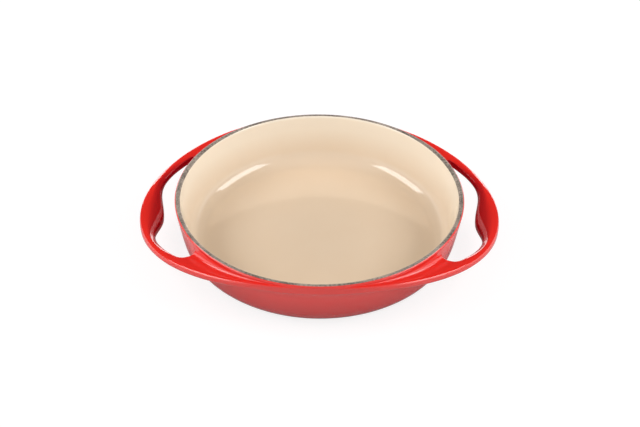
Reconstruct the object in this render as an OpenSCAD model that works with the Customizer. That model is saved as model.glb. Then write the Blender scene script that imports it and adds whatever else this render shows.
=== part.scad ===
// Tarte tatin dish: a shallow round baking dish of enamelled cast iron, 25 cm across
// inside the rim, with two loop handles. It is cast in one piece. The origin is on the
// underside of the base, at its centre, and the handles lie along X.

/* [Bowl] */
// Diameter over the rim
rim_d = 264; // [230:1:300]
// Height from the base to the top of the rim
dish_h = 54; // [50:0.5:70]
// Width of the rim
rim_w = 5; // [4:0.25:7]
// Thickness of the wall where it meets the heel, measured level
wall_t = 4.4; // [3.5:0.1:7]
// Lean of the wall from upright, in degrees
wall_lean = 10.5; // [4:0.5:16]
// Thickness of the floor
floor_t = 4.5; // [3.5:0.25:8]
// Radius of the outer curve from the base to the wall
heel_r = 25; // [16:0.5:30]
// Radius of the inner curve from the floor to the wall
cove_r = 20; // [10:0.5:24]
// Rounding of the rim's outer edge
rim_round = 1.7; // [1:0.1:2.4]
// Rounding of the rim's inner edge
rim_ease = 0.8; // [0.4:0.1:1.4]

/* [Flange] */
// Depth of the flange's top under the rim, at the front and the back
flange_drop = 1.8; // [1:0.1:5]
// Thickness of the flange and of the arms of the handles
flange_t = 7; // [5.5:0.25:9]
// Rounding of the edges of the flange and the handles
edge_r = 2.2; // [1:0.1:2.6]
// Fullness of the outline seen from above, where 2 is an ellipse
fullness = 2.04; // [1.96:0.01:2.3]
// Share of the wall above the flange that its upper fillet climbs
fillet_climb = 0.75; // [0.3:0.05:0.8]
// Radius of the fillet under the flange
under_fillet = 2.5; // [1:0.25:4]

/* [Handles] */
// Length over both handles
overall_l = 330; // [316:1:370]
// How far the handles' ends hang below the front and the back of the flange
handle_drop = 20; // [2:0.5:26]
// Length of each opening along the rim, from corner to corner
opening_l = 148; // [120:1:160]
// Rounding of the openings' corners
opening_corner = 8; // [5:0.5:12]
// Width of the arms beside the openings
arm_w = 9; // [7:0.5:12]
// Width of the grip in the middle of each handle
grip_w = 21.5; // [14:0.5:23]
// Length over which the handle widens into the grip
grip_l = 98; // [60:1:110]
// Thickness of the grip
grip_t = 10.5; // [7:0.25:12]
// Inward slope of the grip, in degrees
grip_slope = 15; // [0:1:24]
// Length over which the handle thickens and turns inward
turn_l = 136; // [90:1:144]

/* [Smoothness] */
// Facets around the bowl
bowl_facets = 180; // [90:6:240]
// Sections of the flange in a quarter turn
ring_sections = 42; // [30:2:56]

/* [Hidden] */
cast_red = "#C8232C";

rim_r = rim_d / 2;
lip_z = dish_h - rim_round;
half_l = overall_l / 2;
// radius of the arc that the handles follow as they hang
droop_r = (half_l * half_l + handle_drop * handle_drop) / (2 * handle_drop);
// angles from the handles' axis to an opening's end, and across its corner
open_angle = asin(opening_l / rim_d);
corner_angle = opening_corner / (rim_r + arm_w) * 180 / PI;
// how deep the flange is rooted in the wall
root = wall_t / 2;
// how steep the upper and the lower fillet get before they run straight into the wall
steep_upper = 80;
steep_lower = 55;
// spacing that keeps a section's points apart where a fillet or a rounding vanishes
crumb = 0.01;

// Outer radius of the wall at a height
function wall_out(z) =
    rim_r - rim_round + rim_round / cos(wall_lean) - (lip_z - z) * tan(wall_lean);

// lean of the wall inside, which gives it its thickness at the heel
inner_lean = atan((rim_r - rim_w - wall_out(heel_r) + wall_t) / (dish_h - heel_r));

// Inner radius of the wall at a height
function wall_in(z) =
    rim_r - rim_w + rim_ease - rim_ease / cos(inner_lean)
    - (dish_h - rim_ease - z) * tan(inner_lean);

// Radius of the flange's outline at an angle from the handles' axis
function outline(a) =
    pow(pow(cos(a) / half_l, fullness) + pow(sin(a) / rim_r, fullness), -1 / fullness);

// How far the handles have fallen at a distance from the middle of the dish
function droop(x) = droop_r - sqrt(droop_r * droop_r - x * x);

// 1 in the middle of a grip, 0 where a swelling of this length has run out
function swell(a, length) =
    let (end = length / (2 * half_l - grip_w) * 180 / PI)
    a < end ? (1 + cos(180 * a / end)) / 2 : 0;

// 0 at an opening's end, 1 past its rounded corner
function corner(s) = s <= 0 ? 0 : s >= 1 ? 1 : pow(1 - pow(1 - s, 2.4), 1 / 2.4);

// Height that a fillet has gained at a distance in from its foot
function climb(x, r, steep) =
    x <= 0 || r <= 0 ? 0
    : x < r * sin(steep) ? r - sqrt(r * r - x * x)
    : r * (1 - cos(steep)) + (x - r * sin(steep)) * tan(steep);

// Height that a rounded edge has lost at a distance in from its side
function ease(x, r) = x >= r ? 0 : r - sqrt(max(0, r * r - pow(r - x, 2)));

// Distances in from a fillet's foot: steps along its arc, then one straight into the wall
function strides(r, steep, n, reach) =
    [for (k = [0:n]) r * sin(steep * k / n), r * (sin(steep) + reach)];

// Radii of the points on the top or the underside of a section, from the outside in. Where
// the handle is free, they close up on its inner edge.
function radii(foot, steps, room, inner, r) =
    let (last = len(steps) - 1)
    [for (k = [0:last]) max(min(foot - steps[k], room) - crumb * k, inner + r * (1 - sin(90 * k / last)))];

// Section of the flange and the handles at an angle of 0 to 90 degrees from the handles'
// axis, as [radius, height] points in one loop
function section(a) =
    let (
        out = outline(a),
        width = arm_w + (grip_w - arm_w) * swell(a, grip_l),
        t = flange_t + (grip_t - flange_t) * swell(a, turn_l),
        slope = tan(grip_slope) * swell(a, turn_l),
        top = dish_h - flange_drop - droop(out * cos(a)),
        low = top - flange_t,
        mid = (top + low) / 2,
        // the fillets are as large as the flange has room for
        room = out - edge_r,
        r_up = max(0, min(fillet_climb * (lip_z - top), (room - wall_out(top)) / 1.2)),
        r_low = max(0, min(under_fillet, room - wall_out(low))),
        foot_up = wall_out(top + r_up) + r_up / cos(wall_lean),
        foot_low = wall_out(low - r_low) + r_low / cos(wall_lean),
        // the inner side: rooted in the wall, or the free edge of the handle
        rooted = wall_out(mid) - root,
        inner = rooted + (out - width - rooted) * corner((open_angle - a) / corner_angle),
        inner_r = edge_r * min(1, max(0.1, (inner - foot_up) / 4)),
        upper = [for (r = radii(foot_up, strides(r_up, steep_upper, 5, 0.06), room, inner, inner_r))
            [r, mid - slope * (out - r) + t / 2
                + climb(foot_up - r, r_up, steep_upper) - ease(r - inner, inner_r)]],
        lower = [for (r = radii(foot_low, strides(r_low, steep_lower, 2, 0.25), room, inner, inner_r))
            [r, mid - slope * (out - r) - t / 2
                - climb(foot_low - r, r_low, steep_lower) + ease(r - inner, inner_r)]]
    )
    concat(
        [for (b = [90:-30:30]) [room + edge_r * sin(b), mid + t / 2 - edge_r * (1 - cos(b))]],
        upper,
        [[inner, upper[len(upper) - 1][1] - crumb], [inner, lower[len(lower) - 1][1] + crumb]],
        [for (k = [len(lower) - 1:-1:0]) lower[k]],
        [for (b = [30:30:90]) [room + edge_r * sin(b), mid - t / 2 + edge_r * (1 - cos(b))]]
    );

// Angles of the sections in a quarter turn: even along the opening, close together round
// its corner, and even again along the flange
open_sections = round(ring_sections * 0.36);
corner_sections = round(ring_sections * 0.18);
flange_sections = ring_sections - open_sections - corner_sections;
quarter = concat(
    [for (k = [0:open_sections - 1]) (open_angle - corner_angle) * k / open_sections],
    [for (k = [0:corner_sections - 1]) open_angle - corner_angle * pow(1 - k / corner_sections, 3)],
    [for (k = [0:flange_sections - 1]) open_angle + (90 - open_angle) * k / flange_sections]
);
last = len(quarter) - 1;
turn = concat(
    quarter,
    [90], [for (k = [last:-1:0]) 180 - quarter[k]],
    [for (k = [1:last]) 180 + quarter[k]],
    [270], [for (k = [last:-1:1]) 360 - quarter[k]]
);

// Angle from the nearer end of the handles' axis
function folded(a) = abs(a % 180 > 90 ? 180 - a % 180 : a % 180);

// The flange and both handles, as one ring of sections
module flange_ring() {
    rings = [for (a = turn) [for (p = section(folded(a))) [p[0] * cos(a), p[0] * sin(a), p[1]]]];
    n = len(rings);
    m = len(rings[0]);
    polyhedron(
        points = [for (ring = rings) each ring],
        faces = [for (i = [0:n - 1]) for (j = [0:m - 1])
            let (
                a = i * m + j,
                b = i * m + (j + 1) % m,
                c = ((i + 1) % n) * m + (j + 1) % m,
                d = ((i + 1) % n) * m + j
            )
            each [[a, b, c], [a, c, d]]]
    );
}

// Quarter disc that rounds a corner of a profile
module corner_disc(r) {
    intersection() {
        circle(r, $fn = bowl_facets);
        translate([0, -r]) square(r);
    }
}

// Half of the bowl's outer shape: base, heel, leaning wall and the rim's outer edge
module outer_profile() {
    heel_x = wall_out(heel_r) - heel_r / cos(wall_lean);
    rim_x = rim_r - rim_round;
    polygon([
        [0, 0],
        [heel_x, 0],
        [heel_x + heel_r * cos(wall_lean), heel_r - heel_r * sin(wall_lean)],
        [rim_x + rim_round * cos(wall_lean), lip_z - rim_round * sin(wall_lean)],
        [rim_x, dish_h],
        [0, dish_h]
    ]);
    translate([heel_x, heel_r]) corner_disc(heel_r);
    translate([rim_x, lip_z]) circle(rim_round, $fn = bowl_facets);
}

// Half of the space inside: floor, cove, leaning wall and the rim's inner edge
module inner_profile() {
    cove_z = floor_t + cove_r;
    cove_x = wall_in(cove_z) - cove_r / cos(inner_lean);
    ease_x = rim_r - rim_w + rim_ease;
    ease_z = dish_h - rim_ease;
    difference() {
        union() {
            polygon([
                [0, floor_t],
                [cove_x, floor_t],
                [cove_x + cove_r * cos(inner_lean), cove_z - cove_r * sin(inner_lean)],
                [ease_x - rim_ease * cos(inner_lean), ease_z + rim_ease * sin(inner_lean)],
                [ease_x, dish_h],
                [ease_x, dish_h + 1],
                [0, dish_h + 1]
            ]);
            translate([cove_x, cove_z]) corner_disc(cove_r);
        }
        translate([ease_x, ease_z]) circle(rim_ease, $fn = bowl_facets);
    }
}

module bowl() {
    difference() {
        rotate_extrude($fn = bowl_facets) outer_profile();
        rotate_extrude($fn = bowl_facets) inner_profile();
    }
}

module dish() {
    color(cast_red) union() {
        bowl();
        flange_ring();
    }
}

dish();
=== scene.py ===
# %% [markdown]
# # A tarte tatin dish in enamelled cast iron
# The solid model of the dish is loaded first and stays as it is: it gives the place and the
# size of everything. This lesson then models the visible dish over it, as one smooth closed
# mesh, gives it its three enamels and sets up a small photo studio.

# %% Load the solid model
import cmath
from functools import lru_cache
from math import asin, atan, cos, degrees, pi, radians, sin, sqrt, tan

import bmesh
import bpy
from mathutils import Matrix, Vector


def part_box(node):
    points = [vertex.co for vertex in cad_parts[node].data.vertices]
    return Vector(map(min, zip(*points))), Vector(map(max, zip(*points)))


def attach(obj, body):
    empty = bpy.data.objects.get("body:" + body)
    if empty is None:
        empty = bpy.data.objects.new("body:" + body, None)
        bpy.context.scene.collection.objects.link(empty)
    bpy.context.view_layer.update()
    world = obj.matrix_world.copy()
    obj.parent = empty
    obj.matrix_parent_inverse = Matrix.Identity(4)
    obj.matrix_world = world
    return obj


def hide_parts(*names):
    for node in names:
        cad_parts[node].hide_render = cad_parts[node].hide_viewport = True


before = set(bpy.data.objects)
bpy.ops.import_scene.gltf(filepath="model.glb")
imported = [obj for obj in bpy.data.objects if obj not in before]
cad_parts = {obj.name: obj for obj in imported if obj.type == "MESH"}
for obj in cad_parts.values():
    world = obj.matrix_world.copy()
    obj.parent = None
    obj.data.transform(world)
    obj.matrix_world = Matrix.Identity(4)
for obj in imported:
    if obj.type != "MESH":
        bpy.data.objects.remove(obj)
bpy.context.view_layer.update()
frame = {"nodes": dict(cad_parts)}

MM = 0.001
# with the origin at the base's centre, these are half the length, the radius and the height
_, (half_l, rim_r, dish_h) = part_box("dish")
print(f"Nodes of the solid model: {', '.join(frame['nodes'])}")
print(f"The dish is {2 * half_l / MM:.0f} by {2 * rim_r / MM:.0f} mm and {dish_h / MM:.0f} mm high")

# %% [markdown]
# ## The sizes
# A cast dish is a bowl of even thickness with generous curves, because iron has to flow and
# enamel flakes off sharp edges. A flange runs round it just under the rim. It is flush with
# the rim at the front and the back, and grows along an oval outline into two loop handles,
# which hang lower than the rim. The sizes below are the ones that such a casting is drawn
# with. Everything else follows from them.

# %% Sizes of the bowl, the flange and the handles
rim_w = 5 * MM
wall_t = 4.4 * MM
wall_lean = radians(10.5)
floor_t = 4.5 * MM
heel_r = 25 * MM
cove_r = 20 * MM
rim_round = 1.9 * MM
rim_ease = 2.3 * MM
band_near_handle = 4.0 * MM
band_between = 1.5 * MM

flange_drop = 1.8 * MM
flange_t = 7 * MM
edge_r = 2.2 * MM
fullness = 2.04
fillet_climb = 0.45
under_fillet = 2.5 * MM

handle_drop = 20 * MM
opening_l = 148 * MM
opening_corner = 8 * MM
arm_w = 9 * MM
grip_w = 21.5 * MM
grip_l = 98 * MM
grip_t = 10.5 * MM
grip_slope = radians(15)
turn_l = 136 * MM
grip_crown = 1.8 * MM
arm_crown = 0.8 * MM
inner_r = 2.8 * MM

# %% [markdown]
# ## Formulas for the shape
# A point of a section is written as one complex number: its radius, and its height as the
# imaginary part. Turning and rounding a line then take one multiplication each. An angle is
# always counted from the axis of the handles, so a quarter of the dish is enough.

# %% The wall, the outline and the hang of the handles
lip_z = dish_h - rim_round
droop_r = (half_l**2 + handle_drop**2) / (2 * handle_drop)
open_angle = asin(opening_l / (2 * rim_r))
corner_angle = opening_corner / (rim_r + arm_w)
meet_angle = open_angle - corner_angle


def wall_out(z):
    """Radius of the wall's outside at a height."""
    return rim_r - (lip_z - z) * tan(wall_lean)


inner_lean = atan((rim_r - rim_w - wall_out(heel_r) + wall_t) / (dish_h - heel_r))


def wall_in(z):
    """Radius of the wall's inside at a height."""
    return rim_r - rim_w - (dish_h - rim_ease - z) * tan(inner_lean)


def outline(a):
    """Radius of the flange's outline, an oval that is a little fuller than an ellipse."""
    # at a quarter turn, rounding can leave the cosine a hair below zero
    lengthwise, crosswise = abs(cos(a)) / half_l, sin(a) / rim_r
    return (lengthwise**fullness + crosswise**fullness) ** (-1 / fullness)


def droop(x):
    """How far the handles have fallen along their arc, at a distance from the middle."""
    return droop_r - sqrt(droop_r**2 - x**2)


def swell(a, length):
    """1 in the middle of a grip, 0 where a swelling of this length has run out."""
    end = length / (2 * half_l - grip_w)
    return (1 + cos(pi * a / end)) / 2 if a < end else 0.0


print(f"Each opening ends {degrees(open_angle):.1f} degrees from the axis of the handles")

# %% [markdown]
# A section's line is drawn with sharp corners, and each corner is then replaced by an arc, as
# a pattern maker rounds a model. Measuring distances along the line afterwards lets the mesh
# put its points where the shape needs them, even where two corners nearly meet.

# %% Round a line's corners, and find a place along it
def rounded(corners, reaches, steps=12):
    """The line through corners with arcs that start a reach before each inner corner. Gives
    the line's points, and how far along it each arc starts and ends."""
    line, ends = [corners[0]], []
    for before, corner, after, reach in zip(corners, corners[1:], corners[2:], reaches):
        to_start = (before - corner) / abs(before - corner)
        to_end = (after - corner) / abs(after - corner)
        swing = cmath.phase(to_end / to_start)
        centre = corner + reach / cos(swing / 2) * to_start * cmath.exp(0.5j * swing)
        first = corner + reach * to_start - centre
        turned = (abs(swing) - pi) * (1 if swing > 0 else -1)
        arc_points = [centre + first * cmath.exp(1j * turned * k / steps) for k in range(steps + 1)]
        begin = length_of(line + arc_points[:1])
        line += arc_points
        ends += [begin, begin + length_of(arc_points)]
    return line + corners[-1:], ends


def length_of(line):
    """Length of a line, added up from point to point."""
    return sum(abs(q - p) for p, q in zip(line, line[1:]))


def along(line, distance):
    """The point at a distance along a line."""
    for p, q in zip(line, line[1:]):
        step = abs(q - p)
        if distance <= step:
            return p + (q - p) * distance / step if step else p
        distance -= step
    return line[-1]


# %% [markdown]
# ## Sections of the flange
# The mesh crosses the flange's top with twelve points and its underside with twelve more. On
# top, four lie on the wall's fillet, one beside it, three round the opening's edge, one in the
# middle and three round the outer edge. Where the flange runs out at the front and the back
# they slide on down its side, each a little apart from the next, so that no face ever gets
# squeezed to nothing.

# %% Lines over and under the flange
FILLET_START, FILLET_END, EDGE, TIP = 0, 3, 5, 11
# how far a fillet reaches along the leaning wall, in radii, over and under the flange
fillet_reach = {1: 1.2, -1: 0.83}
# how much of the wall a fillet may take, and how much of the flange's width a fillet and the
# rounded edge may take
wall_room = 0.98
fillet_room = 0.6
edge_room = 0.38
narrow_flange = 4.5 * MM
underside_fall = 0.6


def levels(a):
    """Thickness, inward slope and middle height of the flange or handle."""
    thick = flange_t + (grip_t - flange_t) * swell(a, turn_l)
    slope = tan(grip_slope) * swell(a, turn_l)
    middle = dish_h - flange_drop - droop(outline(a) * cos(a)) - flange_t / 2
    return thick, slope, middle


@lru_cache(None)
def flange_line(a, side):
    """Line over (side 1) or under (side -1) the flange, from the wall to the outer side."""
    out = outline(a)
    thick, _, middle = levels(a)
    face = middle + side * thick / 2
    flat = out - wall_out(face)
    # where the flange is narrow, its underside slopes down to the wall in one soft bend
    foot_z = face if side > 0 else face - underside_fall * max(0, narrow_flange - flat)
    foot, edge = complex(wall_out(foot_z), foot_z), complex(out, face)
    flat = abs(edge - foot)
    start_z = lip_z if side > 0 else heel_r
    start = complex(wall_out(start_z), start_z)
    fillet_r = fillet_climb * (lip_z - face) if side > 0 else under_fillet
    reaches = [
        min(fillet_reach[side] * fillet_r, fillet_room * flat, wall_room * abs(start - foot)),
        min(edge_r, edge_room * flat),
    ]
    return rounded([start, foot, edge, complex(out, middle)], reaches)


# %% [markdown]
# Where a handle is free, it has an inner side as well. That side's edges are almost sharp at
# the opening's ends, where they have to meet the flange, and soon grow as soft as a cast
# grip's.

# %% Lines over and under a handle
inner_run_in = radians(12)
least_round = 0.2 * MM


def handle_inner(a):
    """Radius of a handle's inner side."""
    return outline(a) - arm_w - (grip_w - arm_w) * swell(a, grip_l)


def into_handle(a):
    """0 at the opening's ends, rising smoothly to 1 a little way into the handle."""
    return sin(pi / 2 * min(1, (meet_angle - a) / inner_run_in))


@lru_cache(None)
def handle_line(a, side):
    """Line over or under a handle, from its inner side to its outer side."""
    out, inner = outline(a), handle_inner(a)
    thick, slope, middle = levels(a)
    face = middle + side * thick / 2
    fall = slope * (out - inner)
    corners = [
        complex(inner, middle - fall), complex(inner, face - fall),
        complex(out, face), complex(out, middle),
    ]
    return rounded(corners, [least_round + inner_r * into_handle(a), edge_r])


# %% [markdown]
# At an opening's end the mesh lines lean over, so that they can follow its rounded corner. The
# corner is a quarter of a superellipse, from the wall to the handle's inner side.

# %% How the rings turn round an opening's corner
corner_fullness = 2.4
root_r = wall_out(levels(open_angle)[2]) - wall_t / 2


def corner_lean(radius):
    """How far the opening's end has turned at a radius: 0 at the wall, 1 at the handle."""
    share = (radius - root_r) / (handle_inner(meet_angle) - root_r)
    share = min(1, max(0, share))
    return 1 - (1 - share**corner_fullness) ** (1 / corner_fullness)


# %% [markdown]
# The outer seven of the twelve points run on over the handle, from its inner side to its outer
# one. Each point is a place along its section's line. The places on the flange's flat are
# shares of its width, and these shares are taken where the handle begins.

# %% The points across a section
# three points hold an opening's edge firm, within this distance of it
edge_hold = 1.4 * MM
# on the flange, the points of a section keep at least this far apart
least_gap = 0.28 * MM


def flat_shares(side):
    """Places on the flat between fillet and outer rounding, as shares of it, that carry on the
    handle's own points."""
    line, ends = flange_line(meet_angle, side)
    first, last = along(line, ends[1]).real, along(line, ends[2]).real
    inner = handle_inner(meet_angle)
    radii = [inner, inner + edge_hold / 2, inner + edge_hold, (inner + edge_hold + last) / 2]
    shares = [(r - first) / (last - first) for r in radii]
    # one more stands shortly before them, beside the fillet
    return [0.8 * shares[0]] + shares


SHARES = {side: flat_shares(side) for side in (1, -1)}


def flange_point(a, side, column):
    """A point over or under the flange: column 0 is on the wall, TIP on the outer side."""
    line, ends = flange_line(a, side)
    fillet = ends[1] - ends[0]
    flat = ends[2] - ends[1]
    places = [ends[0] + fillet * k / FILLET_END for k in range(FILLET_END + 1)]
    if side < 0:
        # a small fillet needs two points: the next two stand under those of the large one
        over, over_ends = flange_line(a, 1)
        over_fillet = over_ends[1] - over_ends[0]
        for k in (2, 3):
            radius = along(over, over_ends[0] + over_fillet * k / FILLET_END).real
            places[k] = ends[1] + max(0, radius - along(line, ends[1]).real)
        places[1] = ends[1]
    places += [ends[1] + flat * share for share in SHARES[side]]
    places += [ends[2], (ends[2] + ends[3]) / 2, ends[3]]
    least = least_gap
    for k, wanted in enumerate(places):
        places[k] = max(wanted, least)
        least = places[k] + least_gap
    return along(line, places[column])


def handle_point(a, side, column):
    """A point over or under a handle: column EDGE is on the inner side, TIP on the outer."""
    line, ends = handle_line(a, side)
    hold = max(ends[1], ends[0] + edge_hold)
    places = [ends[0], (ends[0] + hold) / 2, hold, (hold + ends[2]) / 2]
    places += [ends[2], (ends[2] + ends[3]) / 2, ends[3]]
    point = along(line, places[column - EDGE])
    if column == EDGE + 3:
        # the middle is crowned, so that the handle rolls over to its inner side
        point += 1j * (arm_crown * into_handle(a) + grip_crown * swell(a, turn_l))
    return point


COLUMN_LEAN = {
    side: [corner_lean(flange_point(open_angle, side, column).real) for column in range(EDGE)]
    + [1] * (TIP - EDGE + 1)
    for side in (1, -1)
}

# %% [markdown]
# ## Rings and sections
# The mesh is a net. Its sections stand like the slices of a cake, and its rings run round the
# dish. The sections are even along the openings, and one stands close behind each opening's
# end to keep that edge crisp. The same list serves all four quarters.

# %% Angles of the sections
open_sections = 12
flange_sections = 16
crisp = radians(0.55)
wall_angles = [open_angle * k / open_sections for k in range(open_sections + 1)]
outer_angles = [meet_angle * k / open_sections for k in range(open_sections + 1)]
for k in range(flange_sections + 1):
    share = k / flange_sections
    wall_angles.append(open_angle + crisp + (pi / 2 - open_angle - crisp) * share)
    outer_angles.append(meet_angle + crisp + (pi / 2 - meet_angle - crisp) * share)
quarter = len(wall_angles) - 1
sections = 4 * quarter


def fold(turn):
    """A section's number in its quarter, and the signs of x and y there."""
    number, quadrant = turn % quarter, turn // quarter
    if quadrant % 2:
        number = quarter - number
    return number, -1 if quadrant in (1, 2) else 1, -1 if quadrant in (2, 3) else 1


def spot(turn, angle, point):
    """A section's point in space."""
    _, sign_x, sign_y = fold(turn)
    return Vector((sign_x * point.real * cos(angle), sign_y * point.real * sin(angle), point.imag))


def bowl_ring(point):
    """Where a ring of one radius and height has its points."""
    return lambda turn: spot(turn, wall_angles[fold(turn)[0]], point)


def flange_ring(side, column):
    """Where a ring over or under the flange and the handles has its points."""
    def place(turn):
        number = fold(turn)[0]
        lean = COLUMN_LEAN[side][column]
        angle = wall_angles[number] + (outer_angles[number] - wall_angles[number]) * lean
        if number > open_sections:
            point = flange_point(angle, side, column)
        elif column >= EDGE:
            point = handle_point(angle, side, column)
        elif number == open_sections:
            point = flange_point(angle, side, column)
        else:
            # the first ring runs on along the wall. The others are cut away with the opening
            point = flange_point(open_angle, side, FILLET_START)
        return spot(turn, angle, point)
    return place


print(f"{sections} sections, {quarter} to a quarter")

# %% [markdown]
# A subdivision surface pulls each control point in towards its neighbours. On an arc the pull
# is known, so its inner points are set out a little and the finished surface lands on the
# true radius.

# %% The bowl's arcs
def arc(centre, radius, start, end, steps):
    """Points along an arc, from one angle in degrees to another."""
    step = radians(end - start) / steps
    swell_out = 3 / (2 + cos(step))
    reaches = [radius] + [radius * swell_out] * (steps - 1) + [radius]
    return [
        centre + reach * cmath.exp(1j * (radians(start) + step * k)) for k, reach in enumerate(reaches)
    ]


heel_centre = complex(wall_out(heel_r) - heel_r / cos(wall_lean), heel_r)
cove_z = floor_t + cove_r
cove_centre = complex(wall_in(cove_z) - cove_r / cos(inner_lean), cove_z)
rim_centre = complex(rim_r - rim_round, lip_z)

base_middle_r = 45 * MM
floor_middle_r = 40 * MM
# degrees of the rim's outer rounding that the red enamel climbs
red_climb = 55
outside = [complex(base_middle_r, 0)] + arc(heel_centre, heel_r, -90, -degrees(wall_lean), 5)
rim_rounding = arc(rim_centre, rim_round, 0, red_climb, 2)
inside = [complex(wall_in((dish_h + cove_z) / 2), (dish_h + cove_z) / 2)]
inside += arc(cove_centre, cove_r, -degrees(inner_lean), -90, 5)
inside += [complex(floor_middle_r, floor_t)]

# %% [markdown]
# The rim is a bead, rounded over to both sides. The sand enamel was wiped off it by hand
# before firing, further down beside the handles than between them, so the rings there rise and
# fall round the dish, and one of them lies on the enamel's edge.

# %% The rim's inner side
crest = complex(rim_r - (rim_w + rim_round - rim_ease) / 2, dish_h)
ease_reach = rim_r - rim_w + rim_ease - wall_in(dish_h)
wall_foot = complex(wall_in(cove_z), cove_z)
lip_line, _ = rounded([crest, complex(wall_in(dish_h), dish_h), wall_foot], [ease_reach])
# the last of these rings lies this far along the line from the crest
lip_end = 6 * MM


def lip_ring(share):
    """Ring on the rim's inner side: 0 on its crest, 1 on the enamel's edge, 2 on the wall."""
    def place(turn):
        angle = wall_angles[fold(turn)[0]]
        edge = band_between + (band_near_handle - band_between) * cos(angle) ** 3
        distance = edge * share if share < 1 else edge + (lip_end - edge) * (share - 1)
        return spot(turn, angle, along(lip_line, distance))
    return place


lip_shares = [0, 0.5, 1, 4 / 3, 5 / 3, 2]

# %% [markdown]
# ## Modelling the dish
# The real dish is cast in one piece, so the mesh is one piece too. It could be turned as a
# bowl, with handles joined on by a boolean, but that leaves a hard seam where the casting has
# a flowing fillet. Here a filled circle is extruded ring by ring instead, out from under the
# base, up the wall, out over the flange and back, over the rim and down the inside. Each new
# ring keeps a note of its section and of its own number, which makes it easy to find later.

# %% Start with the middle of the base
bpy.ops.object.select_all(action="DESELECT")
bpy.ops.mesh.primitive_circle_add(vertices=sections, radius=base_middle_r, fill_type="TRIFAN")
dish = bpy.context.object
dish.name = dish.data.name = "enamelled_dish"
turns = dish.data.attributes.new("turn", "INT", "POINT")
rings = dish.data.attributes.new("ring", "INT", "POINT")
# the circle's points follow each other from the y axis, against the clock seen from above
for vertex in dish.data.vertices:
    angle = cmath.phase(complex(vertex.co.x, vertex.co.y)) % (2 * pi)
    turns.data[vertex.index].value = round(angle / (2 * pi) * sections) % sections
    rings.data[vertex.index].value = 0 if vertex.co.length < base_middle_r / 2 else 1
bpy.ops.object.mode_set(mode="EDIT")


# %% Select, place and extrude rings
def select_where(kind, test):
    """Selects the edit mesh's edges or faces that pass a test, and nothing else."""
    bpy.ops.mesh.select_all(action="DESELECT")
    bpy.ops.mesh.select_mode(type={"edges": "EDGE", "faces": "FACE"}[kind])
    net = bmesh.from_edit_mesh(dish.data)
    turn, ring = net.verts.layers.int["turn"], net.verts.layers.int["ring"]
    for element in getattr(net, kind):
        if test(element, [v[turn] for v in element.verts], [v[ring] for v in element.verts]):
            element.select_set(True)
    net.select_flush_mode()
    bmesh.update_edit_mesh(dish.data)


def place_ring(number, place):
    """Puts the selected ring's points in place, and notes its number."""
    net = bmesh.from_edit_mesh(dish.data)
    turn, ring = net.verts.layers.int["turn"], net.verts.layers.int["ring"]
    for v in net.verts:
        if v.select:
            v.co = place(v[turn])
            v[ring] = number
    bmesh.update_edit_mesh(dish.data)


def extrude_ring(place):
    """Extrudes the selected ring, puts the new one in its place and gives its number."""
    global ring_count
    bpy.ops.mesh.extrude_region_move()
    ring_count += 1
    place_ring(ring_count, place)
    return ring_count


ring_count = 1
select_where("edges", lambda edge, turn, ring: ring == [1, 1])
place_ring(1, bowl_ring(outside[0]))

# %% [markdown]
# The base and the heel are plain rings. Under the flange the rings follow its sections, and
# the last one under it and the first one over it make the outer side between them.

# %% Extrude the base, the heel and the flange
for point in outside[1:]:
    extrude_ring(bowl_ring(point))
ring_of = {}
for side, columns in ((-1, range(TIP + 1)), (1, range(TIP, -1, -1))):
    for column in columns:
        ring_of[side, column] = extrude_ring(flange_ring(side, column))
print(f"Flange and handles: rings {ring_of[-1, 0]} to {ring_of[1, 0]}")

# %% [markdown]
# The rim carries no colour on its top. The dish stands in the kiln with a bare ground coat
# there, between the red outside and the pale inside, so the rings on both sides of that band
# are noted: the enamels will meet on them.

# %% Extrude the rim, the inside and the floor
for point in rim_rounding:
    # the band starts on the last of these
    band_start = extrude_ring(bowl_ring(point))
for share in lip_shares:
    number = extrude_ring(lip_ring(share))
    if share == 1:
        band_end = number
for point in inside:
    extrude_ring(bowl_ring(point))
bpy.ops.mesh.extrude_region_move()
bpy.ops.mesh.merge(type="CENTER")
print(f"{ring_count} rings, rim band from {band_start} to {band_end}")

# %% [markdown]
# ## Cutting the openings
# Each opening is a crescent of faces on top and one right under it. Both are deleted, and
# bridging the two edges that are left makes the opening's walls in one step, with four cuts
# that keep its corners firm.

# %% Delete the crescents and bridge them
def in_opening(face, turn, ring):
    """Whether a face lies in a crescent, over or under the flange."""
    numbers = [fold(t)[0] for t in turn]
    over = all(ring_of[1, EDGE] <= r <= ring_of[1, FILLET_START] for r in ring)
    under = all(ring_of[-1, FILLET_START] <= r <= ring_of[-1, EDGE] for r in ring)
    return max(numbers) <= open_sections and (over or under)


select_where("faces", in_opening)
bpy.ops.mesh.delete(type="FACE")
for sign in (1, -1):
    select_where("edges", lambda edge, turn, ring: edge.is_boundary and edge.verts[0].co.x * sign > 0)
    bpy.ops.mesh.bridge_edge_loops(number_cuts=4, interpolation="LINEAR")
bpy.ops.mesh.select_all(action="SELECT")
bpy.ops.mesh.normals_make_consistent(inside=False)
print(f"The coarse net has {len(bmesh.from_edit_mesh(dish.data).faces)} faces")

# %% [markdown]
# ## Three zones for three enamels
# The faces are shared out while the net is still coarse, because the rings say which face is
# which. Subdivision then carries the zones along, with smooth borders.

# %% Give each zone its material slot
def zone(face_rings):
    """A face's zone: 0 is red, 1 the band on the rim and 2 the sand-coloured inside."""
    if min(face_rings) >= band_start and max(face_rings) <= band_end:
        return 1
    # merging the floor's middle has set its ring to 0, like the base's
    floor_middle = 0 in face_rings and max(face_rings) > band_end
    return 2 if min(face_rings) >= band_end or floor_middle else 0


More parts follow.
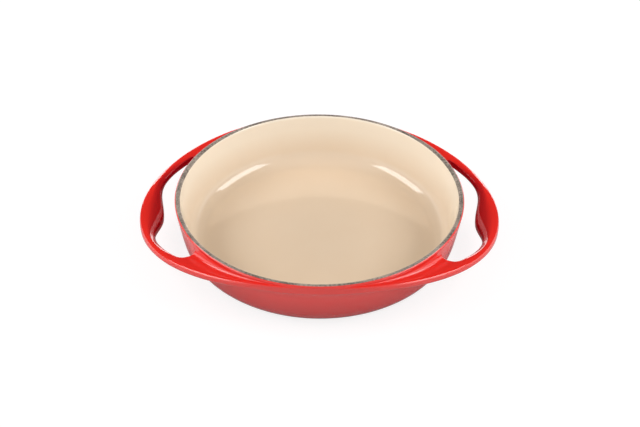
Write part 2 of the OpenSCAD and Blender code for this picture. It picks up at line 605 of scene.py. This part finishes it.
red_enamel = bpy.data.materials.new("red_enamel_glossy")
ground_coat = bpy.data.materials.new("grey_ground_coat_matt")
sand_enamel = bpy.data.materials.new("sand_enamel_glossy")
for slot_number, material in enumerate((red_enamel, ground_coat, sand_enamel)):
    dish.data.materials.append(material)
    if slot_number:
        select_where("faces", lambda face, turn, ring: zone(ring) == slot_number)
        dish.active_material_index = slot_number
        bpy.ops.object.material_slot_assign()
bpy.ops.object.mode_set(mode="OBJECT")
print(f"{len(dish.data.materials)} enamels: " + ", ".join(m.name for m in dish.data.materials))

# %% [markdown]
# ## Smooth the net
# Two levels of subdivision turn the net into the cast surface, with a point about every 2 mm
# round the dish. The modifier is applied, so the mesh itself is the result.

# %% Subdivide, smooth and measure
smoothing = dish.modifiers.new("cast_surface", "SUBSURF")
smoothing.levels = smoothing.render_levels = 2
bpy.ops.object.modifier_apply(modifier=smoothing.name)
bpy.ops.object.shade_smooth()
for name in ("turn", "ring"):
    dish.data.attributes.remove(dish.data.attributes[name])

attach(dish, "root")
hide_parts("dish")
triangles = sum(len(p.vertices) - 2 for p in dish.data.polygons)
print(f"The dish has {triangles} triangles")

# %% [markdown]
# ## Materials
# Colours are written as on a paint card, in sRGB, and one function turns them to the linear
# values that light is reckoned in. Patterns read object coordinates, which are metres here,
# so a noise scale of 1 / (size in metres) gives blotches of that size.

# %% Helpers for colours and nodes
def linear(card):
    """Linear colour of an sRGB hex value."""
    parts = [int(card[k : k + 2], 16) / 255 for k in (1, 3, 5)]
    return [c / 12.92 if c <= 0.04045 else ((c + 0.055) / 1.055) ** 2.4 for c in parts] + [1]


def add_node(tree, kind, inputs=None, **settings):
    """Adds a node. inputs gives its sockets a value, or the output socket to link from."""
    made = tree.nodes.new(kind)
    for name, value in settings.items():
        setattr(made, name, value)
    for socket, value in (inputs or {}).items():
        if isinstance(value, bpy.types.NodeSocket):
            tree.links.new(value, made.inputs[socket])
        else:
            made.inputs[socket].default_value = value
    return made


def start_material(material):
    """Empties a material's tree, and gives it, its shader and its object coordinates."""
    material.use_nodes = True
    tree = material.node_tree
    tree.nodes.clear()
    shader = add_node(tree, "ShaderNodeBsdfPrincipled")
    add_node(tree, "ShaderNodeOutputMaterial", {"Surface": shader.outputs[0]})
    place = add_node(tree, "ShaderNodeTexCoord").outputs["Object"]
    return tree, shader, place


# %% [markdown]
# ## Red enamel
# Vitreous enamel is coloured glass, fused onto the iron at about 800 degrees. It is sprayed on
# and runs a little before it sets. It is a bright red above and a deeper one towards the foot:
# partly the enamel's own red, thicker there, and partly painted shade of the foot, which turns
# down to the floor. A slow noise keeps that change from being too even. On the sides that face
# the bowl, which keeps the far softbox off them, the maroon is painted shade, and their gloss
# is turned down so that they show hardly any reflection. The faint waves are the orange peel of
# a sprayed glaze. A glaze loaded with pigment reflects more than window glass, by an IOR of
# 1.75, and is almost without roughness.

# %% Red enamel, sprayed and fired
def make_red_enamel(material):
    """Bright red, deeper at the foot with some painted shade, and with painted maroon shade
    on the sides facing the bowl.
    """
    tree, shader, place = start_material(material)
    drift = add_node(tree, "ShaderNodeTexNoise", {"Vector": place, "Scale": 1 / 0.045, "Detail": 2})
    height = add_node(tree, "ShaderNodeSeparateXYZ", {0: place}).outputs["Z"]
    # darker towards the foot: partly the enamel's own deeper red, partly painted shade of the foot
    thick = add_node(
        tree, "ShaderNodeMapRange",
        {"Value": height, "From Min": 0.65 * dish_h, "From Max": 0.0, "To Min": 0.0, "To Max": 0.85},
    )
    share = add_node(
        tree, "ShaderNodeMath", {0: drift.outputs["Fac"], 1: 0.1, 2: thick.outputs[0]},
        operation="MULTIPLY_ADD", use_clamp=True,
    )
    # B, the foot's deep red, carries painted shade as well as the enamel's own tone
    colour = add_node(
        tree, "ShaderNodeMix",
        {"Factor": share.outputs[0], "A": linear("#F0281D"), "B": linear("#A51016")},
        data_type="RGBA",
    )
    # 0 on surfaces that face up or out, 1 on those that face the bowl: the painted shade's mask
    inward = add_node(tree, "ShaderNodeVectorMath", {0: place, 1: (-1, -1, 0)}, operation="MULTIPLY")
    inward = add_node(tree, "ShaderNodeVectorMath", {0: inward.outputs[0]}, operation="NORMALIZE")
    facing = add_node(
        tree, "ShaderNodeVectorMath",
        {0: add_node(tree, "ShaderNodeTexCoord").outputs["Normal"], 1: inward.outputs[0]},
        operation="DOT_PRODUCT",
    )
    # painted shade: 1 where the bowl keeps the far softbox off a handle's inner side
    bowl_side_shade = add_node(
        tree, "ShaderNodeMapRange", {"Value": facing.outputs["Value"], "From Min": 0, "From Max": 0.85}
    )
    # painted shade: maroon on the sides that face the bowl
    colour = add_node(
        tree, "ShaderNodeMix",
        {"Factor": bowl_side_shade.outputs[0], "A": colour.outputs["Result"], "B": linear("#A01020")},
        data_type="RGBA",
    )
    # less gloss on those shaded sides, so the softbox shows hardly any reflection there
    gloss = add_node(
        tree, "ShaderNodeMapRange", {"Value": bowl_side_shade.outputs[0], "To Min": 0.5, "To Max": 0.05}
    )
    peel = add_node(tree, "ShaderNodeTexNoise", {"Vector": place, "Scale": 1 / 0.007, "Detail": 1})
    waves = add_node(
        tree, "ShaderNodeBump", {"Height": peel.outputs["Fac"], "Strength": 0.1, "Distance": 0.0002}
    )
    tree.links.new(colour.outputs["Result"], shader.inputs["Base Color"])
    tree.links.new(waves.outputs[0], shader.inputs["Normal"])
    tree.links.new(gloss.outputs[0], shader.inputs["Specular IOR Level"])
    shader.inputs["Roughness"].default_value = 0.07
    shader.inputs["IOR"].default_value = 1.75


make_red_enamel(red_enamel)
print(f"The red enamel has {len(red_enamel.node_tree.nodes)} nodes")

# %% [markdown]
# ## Sand enamel
# The inside has a pale, clay-coloured glaze. It is opaque, and a little softer in its gloss
# than the red, with slow clouds in its tone. It is poured in and swirled round. It pales up the
# wall as painted light from the low side glow, and deepens on the floor as painted shade, where
# the walls keep light off.

# %% Sand enamel, poured and fired
def make_sand_enamel(material):
    """Clay-coloured, paler up the wall as painted light and deeper on the floor as painted shade,
    with slow clouds.
    """
    tree, shader, place = start_material(material)
    clouds = add_node(tree, "ShaderNodeTexNoise", {"Vector": place, "Scale": 1 / 0.03, "Detail": 3})
    height = add_node(tree, "ShaderNodeSeparateXYZ", {0: place}).outputs["Z"]
    # painted light and shade: the tone pales with height, from the floor up the wall
    painted_wall_light = add_node(
        tree, "ShaderNodeMapRange",
        {"Value": height, "From Min": 1.5 * floor_t, "From Max": 0.75 * dish_h, "To Max": 0.85},
    )
    share = add_node(
        tree, "ShaderNodeMath", {0: clouds.outputs["Fac"], 1: 0.15, 2: painted_wall_light.outputs[0]},
        operation="MULTIPLY_ADD", use_clamp=True,
    )
    # A, on the floor, carries painted shade; B, up the wall, painted light
    colour = add_node(
        tree, "ShaderNodeMix",
        {"Factor": share.outputs[0], "A": linear("#EAD1B4"), "B": linear("#F6EAD7")},
        data_type="RGBA",
    )
    peel = add_node(tree, "ShaderNodeTexNoise", {"Vector": place, "Scale": 1 / 0.009, "Detail": 1})
    waves = add_node(
        tree, "ShaderNodeBump", {"Height": peel.outputs["Fac"], "Strength": 0.1, "Distance": 0.0002}
    )
    tree.links.new(colour.outputs["Result"], shader.inputs["Base Color"])
    tree.links.new(waves.outputs[0], shader.inputs["Normal"])
    shader.inputs["Roughness"].default_value = 0.1
    shader.inputs["IOR"].default_value = 1.65


make_sand_enamel(sand_enamel)
print(f"The sand enamel has {len(sand_enamel.node_tree.nodes)} nodes")

# %% [markdown]
# ## Ground coat
# The rim's top keeps only the ground coat, a thin enamel full of grit that fires to a matt
# grey-brown. It looks like fine stone, with specks of a millimetre or two, and with darker
# and lighter patches of a centimetre or two.

# %% Grey-brown ground coat, matt and gritty
def make_ground_coat(material):
    """Matt grey-brown, with grit that also roughens it and with larger patches."""
    tree, shader, place = start_material(material)
    grit = add_node(tree, "ShaderNodeTexNoise", {"Vector": place, "Scale": 1 / 0.002, "Detail": 3})
    patches = add_node(tree, "ShaderNodeTexNoise", {"Vector": place, "Scale": 1 / 0.018, "Detail": 1})
    mixed = add_node(
        tree, "ShaderNodeMath", {0: patches.outputs["Fac"], 1: 0.6, 2: grit.outputs["Fac"]},
        operation="MULTIPLY_ADD",
    )
    share = add_node(
        tree, "ShaderNodeMapRange", {"Value": mixed.outputs[0], "From Min": 0.6, "From Max": 1.0}
    )
    colour = add_node(
        tree, "ShaderNodeMix",
        {"Factor": share.outputs[0], "A": linear("#5C5047"), "B": linear("#A89A8D")},
        data_type="RGBA",
    )
    rough = add_node(
        tree, "ShaderNodeBump", {"Height": grit.outputs["Fac"], "Strength": 0.5, "Distance": 0.0002}
    )
    tree.links.new(colour.outputs["Result"], shader.inputs["Base Color"])
    tree.links.new(rough.outputs[0], shader.inputs["Normal"])
    shader.inputs["Roughness"].default_value = 0.62
    shader.inputs["IOR"].default_value = 1.5


make_ground_coat(ground_coat)
print(f"The ground coat has {len(ground_coat.node_tree.nodes)} nodes")

# %% [markdown]
# ## The table
# A product photo is taken on a white sweep. For the camera, most of the floor's white is a
# steady glow, and the rest is lit paper, which keeps a faint shadow. The glossy enamel mirrors
# white paper. To all other light the floor is a middle grey, because a real sweep throws little
# light back up under a dish.

# %% White floor
floor_size = 6
bpy.ops.object.select_all(action="DESELECT")
bpy.ops.mesh.primitive_plane_add(size=floor_size)
table = bpy.context.object
table.name = "white_floor"

paper = bpy.data.materials.new("white_paper")
paper.use_nodes = True
paper_tree = paper.node_tree
paper_tree.nodes.clear()
rays = add_node(paper_tree, "ShaderNodeLightPath").outputs
# the paper's tone is 0.5, 0.85 in a reflection and 0.21 for the camera, which sees the glow too
mirrored = add_node(
    paper_tree, "ShaderNodeMapRange", {"Value": rays["Is Glossy Ray"], "To Min": 0.5, "To Max": 0.85}
)
tone = add_node(
    paper_tree, "ShaderNodeMath", {0: rays["Is Camera Ray"], 1: -0.29, 2: mirrored.outputs[0]},
    operation="MULTIPLY_ADD",
)
diffuse = add_node(paper_tree, "ShaderNodeBsdfDiffuse", {"Color": tone.outputs[0]})
seen = add_node(
    paper_tree, "ShaderNodeMath", {0: rays["Is Camera Ray"], 1: 0.835}, operation="MULTIPLY"
)
glow = add_node(
    paper_tree, "ShaderNodeEmission", {"Color": linear("#FFFFFF"), "Strength": seen.outputs[0]}
)
surface = add_node(paper_tree, "ShaderNodeAddShader", {0: diffuse.outputs[0], 1: glow.outputs[0]})
add_node(paper_tree, "ShaderNodeOutputMaterial", {"Surface": surface.outputs[0]})
table.data.materials.append(paper)
print(f"The floor is {floor_size} m wide")

# %% [markdown]
# ## The lights
# Two long softboxes hang left and right of the dish, a little towards the camera. They draw
# the pale lines along the rim, the fillet and the flange's edge, and the two streaks on the
# cove. A strip of lit backdrop behind the dish picks out the far edges. Each one's power
# follows from its area, so that a larger one gives more light without looking brighter.

# %% Softboxes and backdrop
def softbox(name, place, size, radiance, target=(0, 0, 0.03)):
    """A rectangle of light that faces a target, with a surface of the given radiance."""
    lamp = bpy.data.lights.new(name, "AREA")
    lamp.shape = "RECTANGLE"
    lamp.size, lamp.size_y = size
    lamp.energy = radiance * pi * size[0] * size[1]
    holder = bpy.data.objects.new(name, lamp)
    bpy.context.scene.collection.objects.link(holder)
    holder.location = place
    holder.rotation_euler = (Vector(target) - Vector(place)).to_track_quat("-Z", "Y").to_euler()
    print(f"{name}: {lamp.energy:.1f} W")


for side in (1, -1):
    softbox("side_softbox", (side * 0.90, -0.08, 0.80), (0.96, 0.43), radiance=5.2)
softbox("lit_backdrop", (0, 2, 0.3), (3, 0.6), radiance=4)

# %% [markdown]
# ## The room
# The room does the rest, as a pattern of brightness over the directions of the world. Its side
# walls glow up to some 20 degrees and brighten the bowl's walls, a soft light over the camera
# fills the front, and everything else is nearly dark, so that the flange's top keeps its full
# red.

# %% The room's glow
world = bpy.data.worlds.new("studio_room")
bpy.context.scene.world = world
world.use_nodes = True
room = world.node_tree
direction = add_node(room, "ShaderNodeTexCoord").outputs["Generated"]
parts = add_node(room, "ShaderNodeSeparateXYZ", {0: direction}).outputs
low_glow = add_node(
    room, "ShaderNodeMapRange",
    {"Value": parts["Z"], "From Min": 0.2, "From Max": 0.48, "To Min": 1.7, "To Max": 0.0},
    interpolation_type="SMOOTHSTEP",
)
sideways = add_node(room, "ShaderNodeMath", {0: parts["X"]}, operation="ABSOLUTE")
at_sides = add_node(
    room, "ShaderNodeMapRange",
    {"Value": sideways.outputs[0], "From Min": 0.45, "From Max": 0.8},
    interpolation_type="SMOOTHSTEP",
)
over_camera = add_node(
    room, "ShaderNodeVectorMath", {0: direction, 1: (0.0, -0.7, 0.7)}, operation="DOT_PRODUCT"
)
front_light = add_node(
    room, "ShaderNodeMapRange",
    {"Value": over_camera.outputs["Value"], "From Min": 0.45, "From Max": 0.85,
     "To Min": 0.08, "To Max": 0.64},
    interpolation_type="SMOOTHSTEP",
)
brightness = add_node(
    room, "ShaderNodeMath", {0: low_glow.outputs[0], 1: at_sides.outputs[0], 2: front_light.outputs[0]},
    operation="MULTIPLY_ADD",
)
background = room.nodes["Background"].inputs
background["Color"].default_value = linear("#FFFFFF")
room.links.new(brightness.outputs[0], background["Strength"])
print(f"The room has {len(room.nodes)} nodes")

# %% [markdown]
# ## The camera
# The dish is seen from the front and well above, by a long lens, with the handles level but
# for half a degree.

# %% Camera
camera_height = radians(37.28)
camera_yaw = radians(0.67)
camera_roll = radians(0.44)
camera_distance = 1.5
aim = Vector((0.57, 0, 31.75)) * MM
back = Vector((
    sin(camera_yaw) * cos(camera_height), -cos(camera_yaw) * cos(camera_height), sin(camera_height)
))
right = Vector((cos(camera_yaw), sin(camera_yaw), 0))
axes = Matrix((right, back.cross(right), back)).transposed()
lens = bpy.data.cameras.new("camera")
lens.lens = 91.71
camera = bpy.data.objects.new("camera", lens)
level = Matrix.Translation(aim + back * camera_distance) @ axes.to_4x4()
camera.matrix_world = level @ Matrix.Rotation(camera_roll, 4, "Z")
bpy.context.scene.collection.objects.link(camera)
bpy.context.scene.camera = camera
bpy.context.scene.view_settings.view_transform = "Standard"
print(f"The camera looks down at {degrees(camera_height):.1f} degrees from {camera_distance} m")
